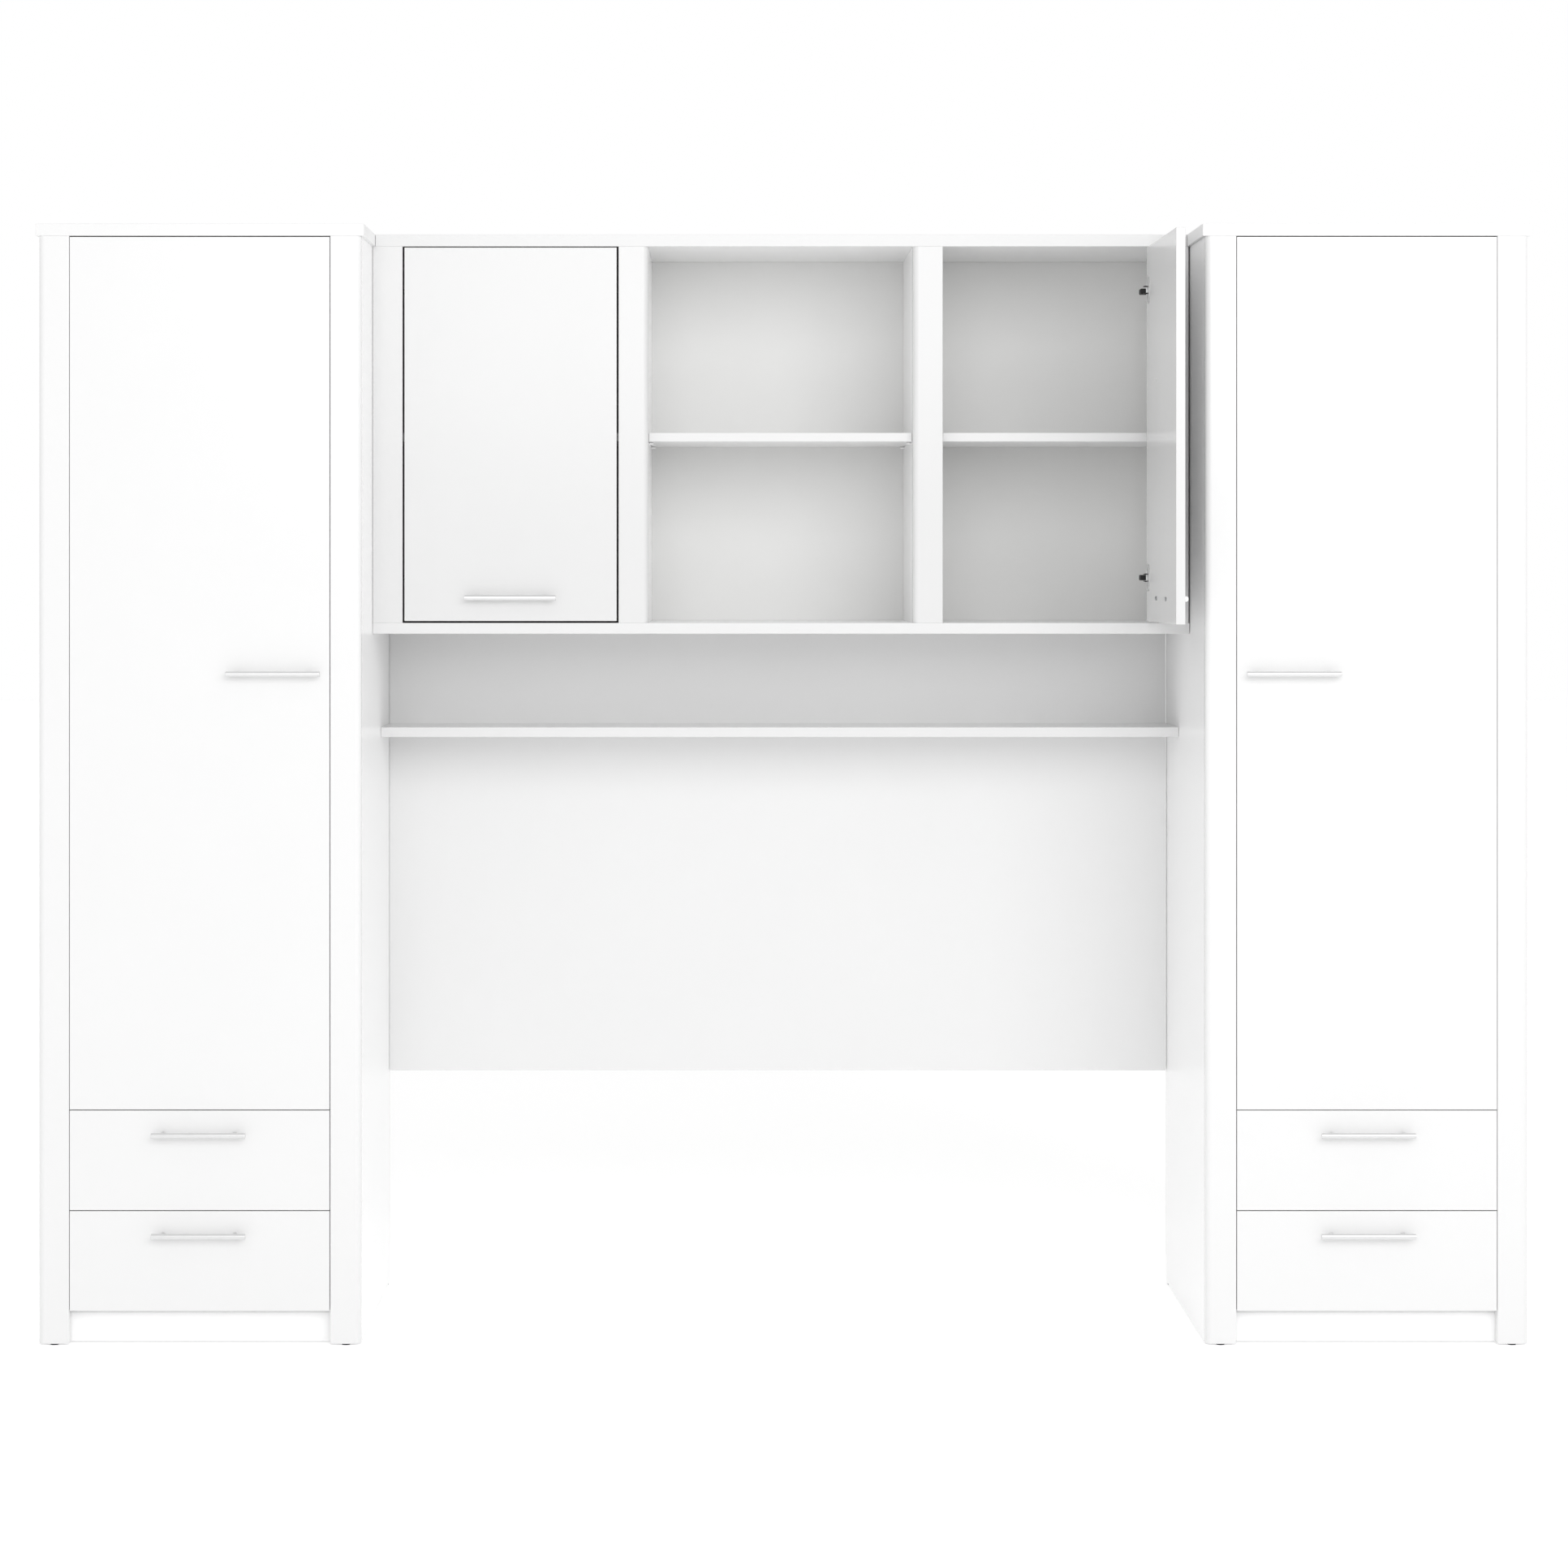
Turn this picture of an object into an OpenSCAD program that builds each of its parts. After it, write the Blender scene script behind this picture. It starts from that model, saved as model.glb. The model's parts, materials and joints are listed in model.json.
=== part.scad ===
// Over-bed wardrobe unit: two wardrobes, a bridge cabinet between their tops, a wall panel and a shelf.
// Millimetres. X runs across the unit, +Y points to the wall, +Z is up, and the floor is at Z = 0.
// The origin is on the floor, mid-width, halfway from the wall to the front edge of the open bridge door.

/* [Whole unit] */
// Height from the floor to the top boards' upper face
unit_h = 2003; // [1900:1:2200]
// Depth from the wardrobe fronts to the wall
unit_d = 560; // [520:1:640]
// Width of one wardrobe body
wardrobe_w = 576; // [500:1:700]
// Clear width between the wardrobes, where the bed head stands
niche_w = 1508; // [1300:1:1900]

/* [Boards] */
// Thickness of sides, doors, fronts, decks and shelves
board_t = 16; // [15:0.5:19]
// Thickness of the top boards and of the front posts
thick_t = 22; // [20:0.5:28]
// Overhang of a wardrobe's top board on each side
top_over = 5; // [0:0.5:15]
// Width of a front post
post_w = 55; // [45:0.5:70]
// Rounding of a post's exposed front edge
post_r = 12; // [4:0.5:18]
// Rounding of a post's front edge beside a door
post_inner_r = 2; // [1:0.5:8]
// Thickness of the hardboard backs
back_t = 4; // [3:0.5:5]
// Gap around the wardrobes' doors and drawer fronts
front_gap = 1; // [1:0.5:4]

/* [Plinth and drawers] */
// Height of the lower drawer front's bottom edge
drawer_z = 62; // [50:1:110]
// Height of one drawer front
drawer_h = 178; // [140:0.5:220]
// Depth of a drawer box behind its front
drawer_d = 450; // [350:1:470]
// Height of the floor glides
glide_h = 3; // [2:0.5:6]

/* [Wardrobe inside] */
// Underside of the hat shelf
hat_shelf_z = 1660; // [1500:1:1750]
// Centre of the clothes rail
rail_z = 1605; // [1450:1:1640]
// Outer diameter of the clothes rail
rail_od = 25; // [18:1:30]

/* [Bridge cabinet] */
// Distance of the bridge front behind the wardrobe fronts
bridge_setback = 209; // [150:1:250]
// Underside of the bridge
bridge_z = 1266.5; // [1150:0.5:1400]
// Thickness of the bridge's bottom board
bridge_bottom_t = 20; // [16:0.5:25]
// Clear width of the open centre compartment
centre_w = 488; // [400:1:600]
// Clear depth from the bridge front to its back board
bridge_clear_d = 338; // [250:1:345]
// Underside of the bridge shelves
bridge_shelf_z = 1622; // [1500:1:1750]
// Distance of the bridge shelves behind the bridge front
shelf_setback = 24; // [22:1:60]
// Gap around the bridge doors
bridge_gap = 3.5; // [1.5:0.5:4]
// Play between the bridge and the left wardrobe
bridge_play_left = 0.5; // [0.5:0.5:3]
// Play between the bridge and the right wardrobe
bridge_play_right = 2.5; // [0.5:0.5:3]
// Angle at which the right bridge door stands open
rest_swing = 90.5; // [90:0.5:94]

/* [Wall panel and shelf] */
// Bottom edge of the wall panel
panel_z = 413; // [200:1:700]
// Underside of the wall shelf
wall_shelf_z = 1068.5; // [800:0.5:1150]
// Thickness of the wall shelf
wall_shelf_t = 18; // [16:0.5:25]
// Depth of the wall shelf in front of the panel
wall_shelf_d = 177; // [120:1:220]

/* [Handles] */
// Length of a handle bar
handle_l = 168; // [120:1:220]
// Distance between the two handle posts
handle_cc = 128; // [96:1:160]
// Diameter of a handle bar
handle_d = 10; // [8:0.5:14]
// Distance from the door's face to the bar's far side
handle_reach = 22; // [20:0.5:40]
// Height of the wardrobe door handles
door_handle_z = 1199; // [900:1:1400]

/* [Hinges] */
// Distance of a cup's centre from the door's hinge edge
cup_inset = 22; // [21:0.5:26]
// Diameter of a hinge cup
cup_d = 35; // [35:1:35]
// Distance of an end hinge from the door's end
hinge_end = 80; // [60:1:120]

/* [Hidden] */
$fn = 48;

LEFT = -1;
RIGHT = 1;
BOTH = [LEFT, RIGHT];
WHITE = "white";
STEEL = "silver";
DARK = "dimgray";

// Hinge pivot, measured inwards from the door's hinge edge along its front face
pivot_inset = 2.5;

// How far a cutting shape runs past the face that it cuts
cut = 1;

// Hairline left between pieces of one node that meet face to face
joint_gap = 0.05;

// Extra play between one front and the next above it, and above the doors
front_step = front_gap + 0.5;
door_top_gap = 2;

// How far the drawer front hangs below the upper face of the bottom board
front_lap = board_t - 7;

// Bridge across the niche
bridge_x0 = -niche_w / 2 + bridge_play_left;
bridge_x1 = niche_w / 2 - bridge_play_right;
bridge_w = bridge_x1 - bridge_x0;
bridge_mid = (bridge_x0 + bridge_x1) / 2;
side_open_w = (bridge_w - centre_w - 4 * post_w) / 2;
bridge_door_w = side_open_w - 2 * bridge_gap;

// The open bridge door reaches furthest forward, and the depth is centred on the origin
open_reach = (bridge_door_w - pivot_inset) * sin(rest_swing) - board_t * cos(rest_swing) - bridge_setback;
front_y = (open_reach - unit_d) / 2;
wall_y = front_y + unit_d;
bridge_y = front_y + bridge_setback;
bridge_back_y = bridge_y + bridge_clear_d;

// Heights
top_z = unit_h - thick_t;
deck_top_z = drawer_z + front_lap;
plinth_h = deck_top_z - board_t;
upper_drawer_z = drawer_z + drawer_h + front_step;
door_z = upper_drawer_z + drawer_h + front_step;
door_h = top_z - door_top_gap - door_z;
drawer_deck_z = door_z - front_gap / 2 - board_t / 2;
bridge_floor_z = bridge_z + bridge_bottom_t;
bridge_door_z = bridge_floor_z + bridge_gap;
bridge_door_h = top_z - door_top_gap - bridge_door_z;

// Wardrobe, drawn on the left and mirrored to the right
body_x0 = -niche_w / 2 - wardrobe_w;
body_x1 = -niche_w / 2;
open_x0 = body_x0 + post_w;
open_x1 = body_x1 - post_w;
open_w = open_x1 - open_x0;
door_w = open_w - 2 * front_gap;
inner_x0 = body_x0 + board_t;
inner_x1 = body_x1 - board_t;
board_y = front_y + thick_t;
nail_room = 1;
back_rear_y = wall_y - nail_room;
inner_back_y = back_rear_y - back_t;
wardrobe_mid = (body_x0 + body_x1) / 2;
hat_shelf_setback = 20;

// Clothes rail and its sockets
rail_y = (board_y + inner_back_y) / 2;
rail_wall = 1;
rail_end_play = 2;
socket_flange = 9;
socket_wall = 2;
socket_reach = 14;

// Drawer box and runners
box_t = 12;
box_h = 120;
box_lift = 22;
box_bottom_t = 3;
box_bottom_lift = 8;
runner_t = 13;
runner_l = 440;
steel_t = 1.2;
web_top = 20;
track_z = -6;
running_play = 0.4;
rear_play = 0.3;
track_w = 9.5;
moving_x = 3;
roller_r = 8;
roller_inset = 10;
rear_roller_z = track_z + steel_t + rear_play + roller_r;
batten_w = post_w - board_t;
batten_h = 50;
batten_l = 460;
batten_drop = 12;
drawer_handle_drop = 42.5;

// Fasteners
bracket_leg = 30;
bracket_w = 24;
bracket_t = 2;
fixing_r = 3;
fixing_drop = 18;
bolt_r = 3.4;
bolt_hole_r = 3.5;
cap_r = 7.5;
cap_t = 1.5;
pin_r = 2.5;
pin_l = 8;
glide_r = 7.5;
wardrobe_fix_cc = 400;
shelf_fix_cc = 1300;
screw_l = 60;
screw_r = 2;
screw_head_l = 3;
screw_head_r = 4;
screw_play = 0.1;
fixing_z = top_z - fixing_drop;
glide_inset = 20;
pin_inset = 40;

// Cup: the flange is an oval, drawn out above and below the bowl
cup_depth = 12;
cup_wall = 1.4;
flange_t = 1.2;
flange_rim = 1.5;
flange_cc = 12;

// Arm, from inside the cup to behind the post, and the cross-shaped plate that it clips on
arm_x0 = cup_inset - 3;
arm_x1 = cup_inset + 7;
arm_tip_y = 8.5;
arm_h = 10;
link_t = 1.5;
link_play = 0.5;
link_reach = 9;
arm_x2 = -34;
plate_y = thick_t + 3.5;
arm_back_y = plate_y + 9;
plate_bar = [-38, -6];
plate_bar_h = 20;
plate_wing = [-30, -14];
plate_wing_h = 48;

// Door handles, their posts, and the small blind hole of the right bridge door
door_handle_inset = 15.5;
handle_foot_step = 1;
bridge_handle_lift = 43;
blind_r = 2.5;
blind_x = (bridge_door_w - handle_cc) / 2;
blind_z = bridge_door_z + 438;
blind_depth = 8;

// Bridge details
bridge_top_play = 0.5;
bridge_bottom_play = 1;
bridge_rear_y = bridge_back_y + back_t - 1;
sharp_r = 1;
shelf_play = 0.5;

// Box between two opposite corners
module slab(low, high) {
    translate(low)
        cube(high - low);
}

// Draws on the left as it is, or mirrored to the right
module on_side(side) {
    mirror([side > 0 ? 1 : 0, 0, 0])
        children();
}

// Cylinder along X, from x0 to x1
module rod_x(x0, x1, y, z, r) {
    translate([x0, y, z])
        rotate([0, 90, 0])
            cylinder(h = x1 - x0, r = r);
}

// Cylinder along Y, from y0 to y1
module rod_y(x, y0, y1, z, r) {
    translate([x, y0, z])
        rotate([-90, 0, 0])
            cylinder(h = y1 - y0, r = r);
}

// What rounding takes off a corner at the origin
module corner_waste(r) {
    difference() {
        translate([-cut, -cut])
            square([r + cut, r + cut]);
        translate([r, r])
            circle(r = r);
    }
}

// Post outline seen from above: its front edges are rounded, each with its own radius
module post_outline(w, r0, r1) {
    difference() {
        square([w, thick_t]);
        corner_waste(r0);
        translate([w, 0])
            mirror([1, 0])
                corner_waste(r1);
    }
}

module post(x, y, z0, z1, r0, r1) {
    translate([x, y, z0])
        linear_extrude(height = z1 - z0)
            post_outline(post_w, r0, r1);
}

// ---- Wardrobe carcass ----

// Where the bolts join each wardrobe to the bridge
bolt_ys = [bridge_y + 60, wall_y - 70];
bolt_zs = [bridge_floor_z + 110, top_z - 110];

module outer_side(side) {
    color(WHITE)
        on_side(side)
            slab([body_x0, board_y, glide_h], [inner_x0, inner_back_y, top_z]);
}

module inner_side(side) {
    color(WHITE)
        on_side(side)
            difference() {
                slab([inner_x1, board_y, glide_h], [body_x1, inner_back_y, top_z]);
                for (y = bolt_ys, z = bolt_zs)
                    rod_x(inner_x1 - cut, body_x1 + cut, y, z, bolt_hole_r);
            }
}

module wardrobe_posts(side) {
    color(WHITE)
        on_side(side) {
            post(body_x0, front_y, glide_h, top_z, post_r, post_inner_r);
            post(open_x1, front_y, glide_h, top_z, post_inner_r, post_r);
        }
}

module wardrobe_tops() {
    color(WHITE)
        for (side = BOTH)
            on_side(side)
                slab([body_x0 - top_over, front_y, top_z], [body_x1 + top_over, wall_y, unit_h]);
}

module wardrobe_bottoms() {
    color(WHITE)
        for (side = BOTH)
            on_side(side)
                slab([inner_x0, board_y, deck_top_z - board_t], [inner_x1, inner_back_y, deck_top_z]);
}

module plinths() {
    color(WHITE)
        for (side = BOTH)
            on_side(side)
                slab([inner_x0, board_y, glide_h], [inner_x1, board_y + board_t, plinth_h]);
}

module drawer_decks() {
    color(WHITE)
        for (side = BOTH)
            on_side(side)
                slab([inner_x0, board_y, drawer_deck_z], [inner_x1, inner_back_y, drawer_deck_z + board_t]);
}

module hat_shelves() {
    color(WHITE)
        for (side = BOTH)
            on_side(side)
                slab([inner_x0, board_y + hat_shelf_setback, hat_shelf_z],
                    [inner_x1, inner_back_y, hat_shelf_z + board_t]);
}

module wardrobe_backs() {
    color(WHITE)
        for (side = BOTH)
            on_side(side)
                difference() {
                    slab([body_x0, inner_back_y, plinth_h], [body_x1, back_rear_y, top_z]);
                    for (dx = [-1, 1] * wardrobe_fix_cc / 2)
                        rod_y(wardrobe_mid + dx, inner_back_y - cut, wall_y + cut, fixing_z, fixing_r);
                }
}

module clothes_rails() {
    color(STEEL)
        for (side = BOTH)
            on_side(side)
                difference() {
                    rod_x(inner_x0 + rail_end_play, inner_x1 - rail_end_play, rail_y, rail_z, rail_od / 2);
                    rod_x(inner_x0, inner_x1, rail_y, rail_z, rail_od / 2 - rail_wall);
                }
}

// Flanged cup that holds one end of a rail against a side board
module rail_socket() {
    difference() {
        union() {
            rod_x(0, rail_end_play, 0, 0, rail_od / 2 + socket_flange);
            rod_x(0, socket_reach, 0, 0, rail_od / 2 + socket_wall);
        }
        rod_x(rail_end_play, socket_reach + cut, 0, 0, rail_od / 2);
    }
}

module rail_sockets() {
    color(STEEL)
        for (side = BOTH)
            on_side(side) {
                translate([inner_x0, rail_y, rail_z])
                    rail_socket();
                translate([inner_x1, rail_y, rail_z])
                    mirror([1, 0, 0])
                        rail_socket();
            }
}

// ---- Drawer runners fixed in the wardrobes ----

function drawer_base_z(upper) = (upper ? upper_drawer_z : drawer_z) + box_lift;

// Blocks that bring the runners level with the posts' inner edges
module runner_battens() {
    color(WHITE)
        for (side = BOTH, upper = [false, true], far = [false, true])
            on_side(side)
                translate([far ? inner_x1 - batten_w : inner_x0, board_y, drawer_base_z(upper) - batten_drop])
                    cube([batten_w, batten_l, batten_h]);
}

// Fixed rail: a web on the batten, a track flange below, and a roller at the front
module cabinet_runner() {
    union() {
        slab([0, 0, track_z], [steel_t, runner_l, web_top]);
        slab([0, 0, track_z], [track_w, runner_l, track_z + steel_t]);
        rod_x(0, track_w, roller_inset, web_top - steel_t - running_play - roller_r, roller_r);
    }
}

module cabinet_runners() {
    color(STEEL)
        for (side = BOTH, upper = [false, true])
            on_side(side) {
                translate([open_x0, board_y, drawer_base_z(upper)])
                    cabinet_runner();
                translate([open_x1, board_y, drawer_base_z(upper)])
                    mirror([1, 0, 0])
                        cabinet_runner();
            }
}

// ---- Hinges ----

// Puts a door's own frame in place: hinge edge at x = 0, face at y = 0, door towards +x, drawn shut
module hung(side, x_edge, y_face, swing = 0) {
    translate([x_edge, y_face, 0])
        mirror([side > 0 ? 1 : 0, 0, 0])
            translate([pivot_inset, 0, 0])
                rotate([0, 0, -swing])
                    translate([-pivot_inset, 0, 0])
                        children();
}

function hinge_zs(z, h, count) =
    [for (i = [0 : count - 1]) z + hinge_end + (h - 2 * hinge_end) * i / (count - 1)];

tall_hinge_zs = hinge_zs(door_z, door_h, 4);
bridge_hinge_zs = hinge_zs(bridge_door_z, bridge_door_h, 2);
tall_hinge_x = open_x0 + front_gap;
bridge_edge_left = bridge_x0 + post_w + bridge_gap;
bridge_edge_right = bridge_x1 - post_w - bridge_gap;

// Sheet-metal cup sunk in the door, with its screw flange on the door's back
module hinge_cup(z) {
    translate([cup_inset, 0, z])
        difference() {
            union() {
                rod_y(0, board_t - cup_depth, board_t, 0, cup_d / 2);
                translate([0, board_t, 0])
                    rotate([-90, 0, 0])
                        linear_extrude(height = flange_t)
                            union() {
                                square([cup_d + 2 * flange_rim, flange_cc], center = true);
                                for (dz = [-1, 1] * flange_cc / 2)
                                    translate([0, dz])
                                        circle(r = cup_d / 2 + flange_rim);
                            }
            }
            rod_y(0, board_t - cup_depth + cup_wall, board_t + flange_t + cut, 0, cup_d / 2 - cup_wall);
        }
}

// Two link plates that stand in the cup, one on each side of the arm
module hinge_links(z) {
    for (dz = [-1, 1] * (arm_h + link_t + 2 * link_play) / 2)
        slab([arm_x0, board_t - cup_depth + cup_wall + joint_gap, z + dz - link_t / 2],
            [arm_x1, board_t + link_reach, z + dz + link_t / 2]);
}

// Cranked arm: out of the cup, and across to the plate behind the post
module hinge_arm(z) {
    union() {
        slab([arm_x0, arm_tip_y, z - arm_h / 2], [arm_x1, arm_back_y, z + arm_h / 2]);
        slab([arm_x2, plate_y, z - arm_h / 2], [arm_x1, arm_back_y, z + arm_h / 2]);
    }
}

// Cross-shaped plate on the back of the post
module hinge_plate(z) {
    union() {
        slab([plate_bar[0], thick_t, z - plate_bar_h / 2], [plate_bar[1], plate_y, z + plate_bar_h / 2]);
        slab([plate_wing[0], thick_t, z - plate_wing_h / 2], [plate_wing[1], plate_y, z + plate_wing_h / 2]);
    }
}

// Arms or plates at one height
module fixed_hinge_part(part, z) {
    if (part == "arm")
        hinge_arm(z);
    else
        hinge_plate(z);
}

// Arms or plates of all four doors, at the doors' shut position
module at_each_hinge(part) {
    for (side = BOTH) {
        hung(side, side * -tall_hinge_x, front_y)
            for (z = tall_hinge_zs)
                fixed_hinge_part(part, z);
        hung(side, side > 0 ? bridge_edge_right : bridge_edge_left, bridge_y)
            for (z = bridge_hinge_zs)
                fixed_hinge_part(part, z);
    }
}

module hinge_arms() {
    color(DARK)
        at_each_hinge("arm");
}

module hinge_plates() {
    color(STEEL)
        at_each_hinge("plate");
}

// ---- Handles ----

// Round bar on two posts, centred on x and z, standing out towards -y from the face
module bar_handle(x, y_face, z) {
    bar_y = y_face - handle_reach + handle_d / 2;
    color(STEEL) {
        rod_x(x - handle_l / 2, x + handle_l / 2, bar_y, z, handle_d / 2);
        for (dx = [-1, 1] * handle_cc / 2)
            difference() {
                rod_y(x + dx, bar_y, y_face, z, handle_d / 2 - handle_foot_step);
                rod_x(x - handle_l / 2, x + handle_l / 2, bar_y, z, handle_d / 2 + joint_gap);
            }
    }
}

// ---- Doors ----

// Door leaf in its own frame, with a blind hole for each cup
module door_leaf(w, z, h, cup_zs) {
    color(WHITE)
        difference() {
            slab([0, 0, z], [w, board_t, z + h]);
            for (cz = cup_zs)
                rod_y(cup_inset, board_t - cup_depth, board_t + cut, cz, cup_d / 2);
        }
}

module wardrobe_door(side) {
    hung(side, side * -tall_hinge_x, front_y)
        door_leaf(door_w, door_z, door_h, tall_hinge_zs);
}

module wardrobe_door_cups(side) {
    color(STEEL)
        hung(side, side * -tall_hinge_x, front_y)
            for (z = tall_hinge_zs) {
                hinge_cup(z);
                hinge_links(z);
            }
}

module wardrobe_door_handle(side) {
    hung(side, side * -tall_hinge_x, front_y)
        bar_handle(door_w - handle_l / 2 - door_handle_inset, 0, door_handle_z);
}

// The left bridge door rests shut and the right one rests open
module bridge_hung(side) {
    hung(side, side > 0 ? bridge_edge_right : bridge_edge_left, bridge_y, side > 0 ? rest_swing : 0)
        children();
}

module bridge_door(side) {
    bridge_hung(side)
        door_leaf(bridge_door_w, bridge_door_z, bridge_door_h, bridge_hinge_zs);
}

// The right door has a small blind hole in its back, above one end of its handle
module drilled_bridge_door() {
    color(WHITE)
        difference() {
            bridge_door(RIGHT);
            bridge_hung(RIGHT)
                rod_y(blind_x, board_t - blind_depth, board_t + cut, blind_z, blind_r);
        }
}

module bridge_door_cups(side) {
    color(STEEL)
        bridge_hung(side)
            for (z = bridge_hinge_zs) {
                hinge_cup(z);
                hinge_links(z);
            }
}

module bridge_door_handle(side) {
    bridge_hung(side)
        bar_handle(bridge_door_w / 2, 0, bridge_door_z + bridge_handle_lift);
}

// ---- Drawers ----

module drawer_front(side, z) {
    color(WHITE)
        on_side(side)
            slab([open_x0 + front_gap, front_y, z], [open_x1 - front_gap, front_y + board_t, z + drawer_h]);
}

// Two sides, a back and a thin bottom, butted together behind the front
module drawer_box(side, z) {
    x0 = open_x0 + runner_t;
    x1 = open_x1 - runner_t;
    x2 = x0 + box_t + joint_gap;
    x3 = x1 - box_t - joint_gap;
    y0 = front_y + board_t;
    y1 = y0 + drawer_d;
    z0 = z + box_lift;
    z2 = z0 + box_bottom_lift;
    color(WHITE)
        on_side(side) {
            slab([x0, y0, z0], [x0 + box_t, y1, z0 + box_h]);
            slab([x1 - box_t, y0, z0], [x1, y1, z0 + box_h]);
            slab([x2, y1 - box_t, z0], [x3, y1, z0 + box_h]);
            slab([x2, y0, z2], [x3, y1 - box_t - joint_gap, z2 + box_bottom_t]);
        }
}

// Moving rail: an angle under the drawer side, a top flange that rides on the front roller, a rear roller
module drawer_runner() {
    union() {
        slab([runner_t - steel_t, 0, -steel_t], [runner_t, runner_l, web_top]);
        slab([runner_t - steel_t, 0, -steel_t], [runner_t + box_t, runner_l, 0]);
        slab([moving_x, 0, web_top - steel_t], [runner_t, runner_l, web_top]);
        rod_x(moving_x, runner_t, runner_l - roller_inset, rear_roller_z, roller_r);
    }
}

module drawer_runners(side, z) {
    color(STEEL)
        on_side(side) {
            translate([open_x0, board_y, z + box_lift])
                drawer_runner();
            translate([open_x1, board_y, z + box_lift])
                mirror([1, 0, 0])
                    drawer_runner();
        }
}

module drawer_handle(side, z) {
    on_side(side)
        bar_handle(wardrobe_mid, front_y, z + drawer_h - drawer_handle_drop);
}

// ---- Bridge cabinet ----

module bridge_top() {
    color(WHITE)
        slab([-niche_w / 2 + top_over + bridge_top_play, bridge_y, top_z],
            [niche_w / 2 - top_over - bridge_top_play, wall_y, unit_h]);
}

module bridge_bottom() {
    color(WHITE)
        slab([bridge_x0, bridge_y, bridge_z], [niche_w / 2 - bridge_bottom_play, wall_y, bridge_floor_z]);
}

module bridge_sides() {
    color(WHITE)
        for (x = [bridge_x0, bridge_x1 - board_t])
            difference() {
                slab([x, bridge_y + thick_t, bridge_floor_z], [x + board_t, wall_y, top_z]);
                for (y = bolt_ys, z = bolt_zs)
                    rod_x(x - cut, x + board_t + cut, y, z, bolt_hole_r);
            }
}

divider_xs = [bridge_mid - centre_w / 2 - board_t, bridge_mid + centre_w / 2];

module bridge_dividers() {
    color(WHITE)
        for (x = divider_xs)
            slab([x, bridge_y + thick_t, bridge_floor_z], [x + board_t, bridge_back_y, top_z]);
}

module bridge_posts() {
    color(WHITE) {
        post(bridge_x0, bridge_y, bridge_floor_z, top_z, sharp_r, sharp_r);
        post(bridge_mid - centre_w / 2 - post_w, bridge_y, bridge_floor_z, top_z, sharp_r, post_r);
        post(bridge_mid + centre_w / 2, bridge_y, bridge_floor_z, top_z, post_r, sharp_r);
        post(bridge_x1 - post_w, bridge_y, bridge_floor_z, top_z, sharp_r, sharp_r);
    }
}

// Clear spans of the three compartments, from left to right
bridge_spans = [
    [bridge_x0 + board_t, divider_xs[0]],
    [divider_xs[0] + board_t, divider_xs[1]],
    [divider_xs[1] + board_t, bridge_x1 - board_t]
];

module bridge_shelves() {
    color(WHITE)
        for (span = bridge_spans)
            slab([span[0] + shelf_play, bridge_y + shelf_setback, bridge_shelf_z],
                [span[1] - shelf_play, bridge_back_y, bridge_shelf_z + board_t]);
}

module bridge_back() {
    color(WHITE)
        slab([bridge_x0 + board_t, bridge_back_y, bridge_floor_z],
            [bridge_x1 - board_t, bridge_rear_y, top_z]);
}

// ---- Wall panel and shelf ----

module wall_panel() {
    color(WHITE)
        difference() {
            slab([bridge_x0, wall_y - board_t, panel_z], [bridge_x1, wall_y, bridge_z]);
            at_shelf_screws()
                shelf_screw(screw_play);
        }
}

module wall_shelf() {
    color(WHITE)
        difference() {
            slab([-niche_w / 2 + shelf_play, wall_y - board_t - wall_shelf_d, wall_shelf_z],
                [niche_w / 2 - shelf_play, wall_y - board_t, wall_shelf_z + wall_shelf_t]);
            at_shelf_screws()
                shelf_screw(screw_play);
        }
}

// ---- Fasteners and small fittings ----

module floor_glides() {
    color(DARK)
        for (side = BOTH, x = [body_x0 + post_w / 2, body_x1 - post_w / 2])
            on_side(side)
                translate([x, front_y + thick_t / 2, 0])
                    cylinder(h = glide_h, r = glide_r);
    color(DARK)
        for (side = BOTH, x = [body_x0 + board_t / 2, body_x1 - board_t / 2])
            on_side(side)
                translate([x, inner_back_y - glide_inset, 0])
                    cylinder(h = glide_h, r = glide_r);
}

// Four pins under a shelf that spans x0 to x1
module pins_under(x0, x1, y0, y1, z) {
    for (y = [y0 + pin_inset, y1 - pin_inset]) {
        rod_x(x0, x0 + pin_l, y, z - pin_r, pin_r);
        rod_x(x1 - pin_l, x1, y, z - pin_r, pin_r);
    }
}

module shelf_pins() {
    color(STEEL) {
        for (side = BOTH)
            on_side(side)
                pins_under(inner_x0, inner_x1, board_y + hat_shelf_setback, inner_back_y, hat_shelf_z);
        for (span = bridge_spans)
            pins_under(span[0], span[1], bridge_y + shelf_setback, bridge_back_y, bridge_shelf_z);
    }
}

// Bolt along X through a wardrobe side and a bridge side, with a flat cap at each end
module connector_bolt(x0, x1, y, z) {
    union() {
        rod_x(x0 - cap_t, x1 + cap_t, y, z, bolt_r);
        rod_x(x0 - cap_t, x0, y, z, cap_r);
        rod_x(x1, x1 + cap_t, y, z, cap_r);
    }
}

module connector_bolts() {
    color(STEEL)
        for (y = bolt_ys, z = bolt_zs) {
            connector_bolt(inner_x1, bridge_x0 + board_t, y, z);
            connector_bolt(bridge_x1 - board_t, -inner_x1, y, z);
        }
}

// Angle with one leg under a board at z = 0 and one on an upright board at y = 0
module angle_bracket() {
    difference() {
        union() {
            slab([-bracket_w / 2, -bracket_leg, -bracket_t], [bracket_w / 2, 0, 0]);
            slab([-bracket_w / 2, -bracket_t, -bracket_leg], [bracket_w / 2, 0, 0]);
        }
        rod_y(0, -bracket_t - cut, cut, -fixing_drop, fixing_r);
        translate([0, -fixing_drop, -bracket_t - cut])
            cylinder(h = bracket_t + 2 * cut, r = fixing_r);
    }
}

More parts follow.
